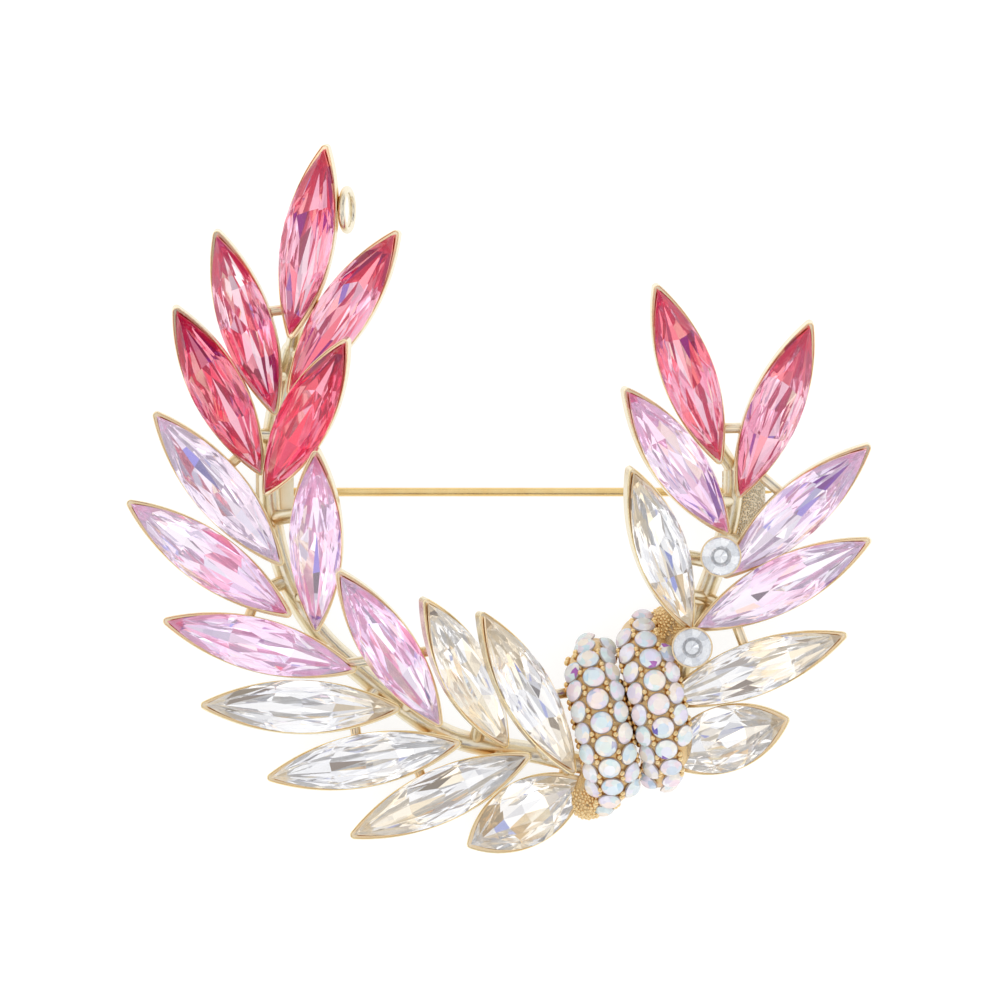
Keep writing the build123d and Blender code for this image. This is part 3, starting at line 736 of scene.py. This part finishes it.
# The last small tone, 0, gives every girdle the aurora list's brown: a painted shadow line where the stones
# sit in their seats.
small_seed, small_turn, small_tones = 200, 1.3, (0.01, 1.0, 0.0)
rings = round_rings(
    small_radius, small_edge, small_crown, small_back, small_spokes, small_flare, small_belly, small_keel)
corners, clear, foiled = stone_facets(rings)
points, faces, marks, tones = [], [], [], []
for number, (matrix, _, _) in enumerate(small_places):
    turned = matrix @ Matrix.Rotation(number * small_turn, 4, "Z")
    base = len(points)
    points += [turned @ Vector(corner) for corner in corners]
    faces += [tuple(base + i for i in face) for face in clear + foiled]
    marks += [0] * len(clear) + [1] * len(foiled)
    tones += spoke_tones(rings, random.Random(small_seed + number), *small_tones)
small_stones = make_piece("small_round_stones", points, faces, crystals["aurora"], marks, tones)
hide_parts("knot_stones")
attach(small_stones, "brooch")
print("small stones cut", len(small_places), "with", len(faces), "facets")

# %% [markdown]
# ## Grains
# Between the columns the setter raised small grains of gold from the band, in pairs, and
# pushed them over the edges of the stones. The bare ends of the knot are covered with finer
# grains. A bead is a small ball whose lower part sinks in the metal. Its place comes from the
# solid itself, by its nearest point or by a ray dropped on it, so none of them floats.

# %% Define beads on a solid
drops, drop_height = 6000, 30 * MM
bead_sink, least_bead, largest_bead = 0.25, 0.85, 1.15
ball = bmesh.new()
bmesh.ops.create_icosphere(ball, subdivisions=2, radius=1.0)
ball_points = [tuple(v.co) for v in ball.verts]
ball_faces = [tuple(v.index for v in f.verts) for f in ball.faces]
ball.free()


def solid_tree(node):
    """The surface of a solid, for finding places on it."""
    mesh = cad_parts[node].data
    corners = [v.co for v in mesh.vertices]
    return BVHTree.FromPolygons(corners, [tuple(f.vertices) for f in mesh.polygons])


def bead_field(name, beads, finish):
    """Many balls in one piece, from their middles and radii."""
    points, faces = [], []
    for middle, radius in beads:
        base = len(points)
        points += [middle + Vector(point) * radius for point in ball_points]
        faces += [tuple(base + i for i in face) for face in ball_faces]
    piece = make_piece(name, points, faces, [finish], smooth=True)
    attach(piece, "brooch")


def scatter(tree, low, high, gap, radius, seed):
    """Beads dropped straight down on a solid within a region, kept a gap apart."""
    chance = random.Random(seed)
    beads = []
    for _ in range(drops):
        x, y = (chance.uniform(low[k], high[k]) * MM for k in (0, 1))
        hit, normal, _, _ = tree.ray_cast(Vector((x, y, drop_height)), Vector((0, 0, -1)))
        if hit is None or not low[2] * MM < hit.z < high[2] * MM:
            continue
        middle = hit - normal * bead_sink * radius
        if all((middle - other).length > gap for other, _ in beads):
            beads.append((middle, radius * chance.uniform(least_bead, largest_bead)))
    return beads


print("corners of a bead", len(ball_points))

# %% Place the grains
twin_reach, grain_radius, grain_rise, farthest = 0.24 * MM, 0.26 * MM, 0.10 * MM, 0.3 * MM
knot_tree = solid_tree("knot")
beads = []
for (_, column), rows in columns.items():
    sides = (-1, 1) if column == 0 else (column,)
    for (_, front, spine), (_, next_front, next_spine) in zip(rows, rows[1:]):
        out = (front + next_front).normalized()
        along = (next_spine - spine).normalized()
        across = along.cross(out).normalized()
        across = across if across.x > 0 else -across
        for side in sides:
            lean = side * column_step / 2
            normal = out * math.cos(lean) + across * math.sin(lean)
            for twin in (-twin_reach, twin_reach):
                middle = (spine + next_spine) / 2 + normal * band_radius + along * twin
                near = knot_tree.find_nearest(middle)[0]
                if (near - middle).length < farthest:
                    beads.append((near + normal * grain_rise, grain_radius))
bead_field("knot_grains", beads, grain_gold)
print("grains between the stones", len(beads))

# %% Strew the ends of the knot
end_gap, end_radius, end_seed = 0.24 * MM, 0.15 * MM, 31
upper_end = (11.6, -10.9, 0.5), (14.6, -8.2, 7.0)
lower_end = (5.8, -25.4, 0.5), (8.1, -22.9, 7.0)
beads = scatter(knot_tree, *upper_end, end_gap, end_radius, end_seed)
beads += scatter(knot_tree, *lower_end, end_gap, end_radius, end_seed + 1)
bead_field("knot_end_grains", beads, grain_gold)
print("grains on the ends", len(beads))

# %% [markdown]
# ## The sand of the catch plate
# The plate of the catch shows between two leaves as a patch of coarse silvery sand. It was
# left as cast. Fine beads lie close together on it. Noise in a material would stay flat at
# the plate's edge, where the grains of the real one stand up.

# %% Strew the catch plate
sand_gap, sand_radius, sand_seed = 0.15 * MM, 0.10 * MM, 41
plate = (17.7, -3.6, 2.6), (20.9, 2.1, 3.2)
beads = scatter(solid_tree("right_wing_setting"), *plate, sand_gap, sand_radius, sand_seed)
bead_field("catch_plate_sand", beads, sand_metal)
print("sand", len(beads))

# %% [markdown]
# ## Rims
# Each cup ends in a thin edge that was burnished until it turned round and bright. A sharp
# solid edge catches no light, so a fine bead is laid along every rim. Its path is the cup's
# own outline: two long arcs that meet in small round tips.

# %% Draw the path and section of a bead
def lens(half_length, half_width, tip_radius, side_steps=14, tip_steps=4):
    """Points round a pointed oval of two long arcs with rounded tips."""
    reach, rise = half_length - tip_radius, half_width - tip_radius
    drop = (reach ** 2 - rise ** 2) / (2 * rise)
    side_radius = half_width + drop
    turn = math.atan2(reach, drop)
    quarter = [(side_radius * math.sin(t), side_radius * math.cos(t) - drop)
               for t in np.linspace(0, turn, side_steps)]
    quarter += [(reach + tip_radius * math.sin(t), tip_radius * math.cos(t))
                for t in np.linspace(turn, math.pi / 2, tip_steps)[1:]]
    right = quarter + [(x, -y) for x, y in reversed(quarter[:-1])]
    return right + [(-x, y) for x, y in reversed(right[1:-1])]


def bead_loop(path, height, thick, tall, sides=10):
    """A closed bead with an oval section along a flat path."""
    points, faces = [], []
    count = len(path)
    for i, (x, y) in enumerate(path):
        before, after = path[i - 1], path[(i + 1) % count]
        way = Vector((after[0] - before[0], after[1] - before[1])).normalized()
        out = Vector((way.y, -way.x))
        for k in range(sides):
            t = 2 * math.pi * k / sides
            points.append((x + out.x * thick * math.cos(t), y + out.y * thick * math.cos(t),
                           height + tall * math.sin(t)))
            a, b = i * sides + k, i * sides + (k + 1) % sides
            step = ((i + 1) % count) * sides - i * sides
            faces.append((a, b, b + step, a + step))
    return points, faces


print("corners of a rim's path", len(lens(2.0, 1.0, 0.1)))

# %% Lay the rims
rim_level, rim_thick, rim_tall = -0.25 * MM, 0.06 * MM, 0.09 * MM
tip_outset, side_outset, tip_radius = 0.33 * MM, 0.085 * MM, 0.30 * MM
for node, (matrix, a, b) in places.items():
    path = lens(a + tip_outset, b + side_outset, tip_radius)
    points, faces = bead_loop(path, rim_level, rim_thick, rim_tall)
    rim = make_piece(node.replace("stone", "rim"), points, faces, [rim_gold], smooth=True)
    rim.matrix_world = matrix
    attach(rim, "brooch")
print("rims laid", len(places))

# %% [markdown]
# ## Metal
# The cups, stems, knot, pin and rivet keep their solids and get their gold. The knot's gold is
# painted darker than that of the cups, as painted shade for the many seats and grains that
# shade one another there.

# %% Plate the metal
plating = {"left_wing_setting": pale_gold, "right_wing_setting": pale_gold, "knot": knot_gold,
           "pin_stem": wire_gold, "hinge_rivet": wire_gold}
for node, finish in plating.items():
    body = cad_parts[node].data
    body.materials.clear()
    body.materials.append(finish)
print("metal plated", list(plating))
